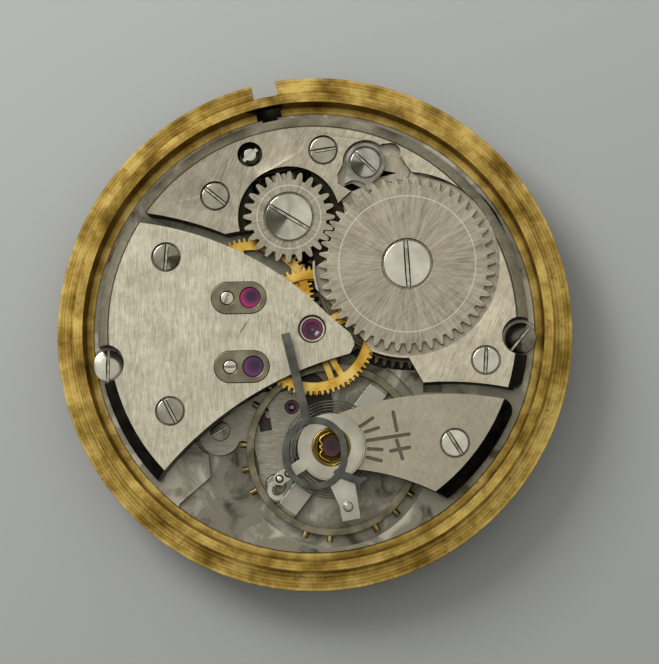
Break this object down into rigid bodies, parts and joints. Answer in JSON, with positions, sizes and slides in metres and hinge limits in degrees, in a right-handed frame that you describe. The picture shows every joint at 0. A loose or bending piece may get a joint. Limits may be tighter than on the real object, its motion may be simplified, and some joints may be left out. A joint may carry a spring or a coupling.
{
  "type": "watch movement",
  "caption": "Round hand-wound lever watch movement in a flanged brass casing ring, seen from its bridges, with ratchet, crown wheel, train and balance.",
  "frame": {"origin": "middle of the casing ring's lower face, on the centre wheel's axis", "axes": "+Z towards the bridges, +Y towards the upper edge of the picture, the stem axis leaving 11 degrees left of +Y, +X to the right"},
  "size_m": [0.03, 0.03, 0.0064],
  "materials": {
    "casing_ring": "aged, lightly pitted",
    "main_plate": "nickel plated, matte",
    "bridge": "nickel plated, fine brushed",
    "screw": "polished",
    "winding_steel": "sunray brushed",
    "steel": "polished",
    "dark_lever": "dark grey, satin",
    "spring_steel": "tempered",
    "wheel_brass": "gilt",
    "balance_alloy": "satin",
    "timing_brass": "turned",
    "ruby": "polished synthetic ruby",
    "cap_plate": "olive nickel",
    "shock_brass": "gilt"
  },
  "bodies": {
    "frame": {"casing_ring": "casing_ring", "main_plate": "main_plate", "barrel_bridge": "bridge", "train_bridge": "bridge", "balance_cock": "bridge", "pallet_bridge": "bridge", "bridge_screws": "screw", "pallet_bridge_screws": "screw", "casing_screws": "screw", "crown_wheel_core": "steel", "crown_wheel_screw": "screw", "click_screw": "screw", "click_spring": "spring_steel", "hairspring": "spring_steel", "shock_settings": "shock_brass", "shock_springs": "shock_brass", "shock_jewels": "ruby", "train_jewels": "ruby", "cap_plates": "cap_plate", "cap_plate_screws": "screw", "cap_jewels": "ruby", "setting_cover": "bridge", "dial_side_screws": "screw"},
    "barrel": {"barrel_drum": "wheel_brass", "barrel_cover": "wheel_brass", "mainspring": "spring_steel"},
    "ratchet": {"barrel_arbor": "steel", "ratchet_wheel": "winding_steel", "ratchet_screw": "screw"},
    "crown": {"crown_wheel": "winding_steel"},
    "click_body": {"click": "steel"},
    "centre": {"centre_wheel": "wheel_brass", "centre_pinion": "steel"},
    "third": {"third_wheel": "wheel_brass", "third_pinion": "steel"},
    "fourth": {"fourth_wheel": "wheel_brass", "fourth_pinion": "steel"},
    "escape": {"escape_wheel": "steel", "escape_pinion": "steel"},
    "lever": {"pallet_fork": "steel", "pallet_stones": "ruby", "pallet_arbor": "steel"},
    "balance": {"balance_wheel": "balance_alloy", "timing_screws": "timing_brass", "balance_staff": "steel", "impulse_roller": "steel", "hairspring_collet": "timing_brass"},
    "stud_carrier_body": {"stud_carrier": "steel"},
    "index_body": {"index_regulator": "steel"},
    "grey_lever": {"regulator_lever": "dark_lever"},
    "winding": {"winding_pinion": "steel"},
    "sliding": {"sliding_pinion": "steel"},
    "setting": {"setting_lever": "steel", "setting_lever_screw": "screw"},
    "yoke_body": {"yoke": "steel"},
    "setting_gear": {"setting_wheel": "steel"},
    "minute": {"minute_wheel": "wheel_brass"},
    "cannon": {"cannon_pinion": "steel"},
    "hour": {"hour_wheel": "wheel_brass"}
  },
  "joints": [
    {"name": "centre_turn", "type": "hinge", "parent": "frame", "child": "centre", "pos_m": [0, 0, 0.0042], "axis": [0, 0, 1], "continuous": true},
    {"name": "barrel_turn", "type": "hinge", "parent": "frame", "child": "barrel", "pos_m": [0.00554, 0.00367, 0.0034], "axis": [0, 0, 1], "continuous": true},
    {"name": "third_turn", "type": "hinge", "parent": "frame", "child": "third", "pos_m": [-0.00356, 0.00188, 0.0044], "axis": [0, 0, 1], "continuous": true},
    {"name": "fourth_turn", "type": "hinge", "parent": "frame", "child": "fourth", "pos_m": [0, 0, 0.0047], "axis": [0, 0, 1], "continuous": true},
    {"name": "escape_turn", "type": "hinge", "parent": "frame", "child": "escape", "pos_m": [-0.00343, -0.00211, 0.0029], "axis": [0, 0, 1], "continuous": true},
    {"name": "cannon_turn", "type": "hinge", "parent": "frame", "child": "cannon", "pos_m": [0, 0, 0.0014], "axis": [0, 0, 1], "continuous": true},
    {"name": "minute_turn", "type": "hinge", "parent": "frame", "child": "minute", "pos_m": [-0.00054, 0.00285, 0.0012], "axis": [0, 0, 1], "continuous": true},
    {"name": "hour_turn", "type": "hinge", "parent": "frame", "child": "hour", "pos_m": [0, 0, 0.0009], "axis": [0, 0, 1], "continuous": true},
    {"name": "setting_wheel_turn", "type": "hinge", "parent": "frame", "child": "setting_gear", "pos_m": [-0.00113, 0.00593, 0.0017], "axis": [0, 0, 1], "continuous": true},
    {"name": "ratchet_turn", "type": "hinge", "parent": "frame", "child": "ratchet", "pos_m": [0.00554, 0.00367, 0.0055], "axis": [0, 0, 1], "continuous": true, "deforming": ["mainspring"]},
    {"name": "crown_turn", "type": "hinge", "parent": "frame", "child": "crown", "pos_m": [-0.00125, 0.00653, 0.0055], "axis": [0, 0, 1], "continuous": true},
    {"name": "winding_turn", "type": "hinge", "parent": "frame", "child": "winding", "pos_m": [0, 0, 0.0035], "axis": [-0.1874, 0.9823, 0], "continuous": true},
    {"name": "click_swing", "type": "hinge", "parent": "frame", "child": "click_body", "pos_m": [0.00322, 0.0096, 0.0055], "axis": [0, 0, 1], "range_deg": [-18, 0], "deforming": ["click_spring"]},
    {"name": "lever_swing", "type": "hinge", "parent": "frame", "child": "lever", "pos_m": [-0.00136, -0.00431, 0.0029], "axis": [0, 0, 1], "range_deg": [-5, 5]},
    {"name": "balance_swing", "type": "hinge", "parent": "frame", "child": "balance", "pos_m": [0.00102, -0.00685, 0.0039], "axis": [0, 0, 1], "range_deg": [-270, 270], "stiffness_Nm_per_rad": 0.0000003, "deforming": ["hairspring"]},
    {"name": "stud_carrier_swing", "type": "hinge", "parent": "frame", "child": "stud_carrier_body", "pos_m": [0.00102, -0.00685, 0.0059], "axis": [0, 0, 1], "range_deg": [-8, 8]},
    {"name": "index_swing", "type": "hinge", "parent": "frame", "child": "index_body", "pos_m": [0.00102, -0.00685, 0.0061], "axis": [0, 0, 1], "range_deg": [-12, 12]},
    {"name": "grey_lever_swing", "type": "hinge", "parent": "frame", "child": "grey_lever", "pos_m": [0.00102, -0.00685, 0.0063], "axis": [0, 0, 1], "range_deg": [-12, 12]},
    {"name": "setting_lever_swing", "type": "hinge", "parent": "frame", "child": "setting", "pos_m": [-0.00346, 0.01023, 0.0017], "axis": [0, 0, 1], "range_deg": [0, 16]},
    {"name": "yoke_swing", "type": "hinge", "parent": "frame", "child": "yoke_body", "pos_m": [-0.0056, 0.0082, 0.0015], "axis": [0, 0, 1], "range_deg": [-12, 0]},
    {"name": "sliding_pinion_slide", "type": "slide", "parent": "frame", "child": "sliding", "axis": [0.1874, -0.9823, 0], "range_m": [0, 0.00025]}
  ],
  "couplings": [
    {"joint": "barrel_turn", "follows": "centre_turn", "ratio": -0.16667},
    {"joint": "third_turn", "follows": "centre_turn", "ratio": -8},
    {"joint": "fourth_turn", "follows": "centre_turn", "ratio": 60},
    {"joint": "escape_turn", "follows": "centre_turn", "ratio": -600},
    {"joint": "cannon_turn", "follows": "centre_turn", "ratio": 1},
    {"joint": "minute_turn", "follows": "centre_turn", "ratio": -0.33333},
    {"joint": "hour_turn", "follows": "centre_turn", "ratio": 0.083333},
    {"joint": "setting_wheel_turn", "follows": "centre_turn", "ratio": 0.75},
    {"joint": "crown_turn", "follows": "ratchet_turn", "ratio": -2},
    {"joint": "winding_turn", "follows": "ratchet_turn", "ratio": 2.6667},
    {"joint": "setting_lever_swing", "follows": "sliding_pinion_slide", "rad_per_m": 1117},
    {"joint": "yoke_swing", "follows": "sliding_pinion_slide", "rad_per_m": -837.76}
  ]
}
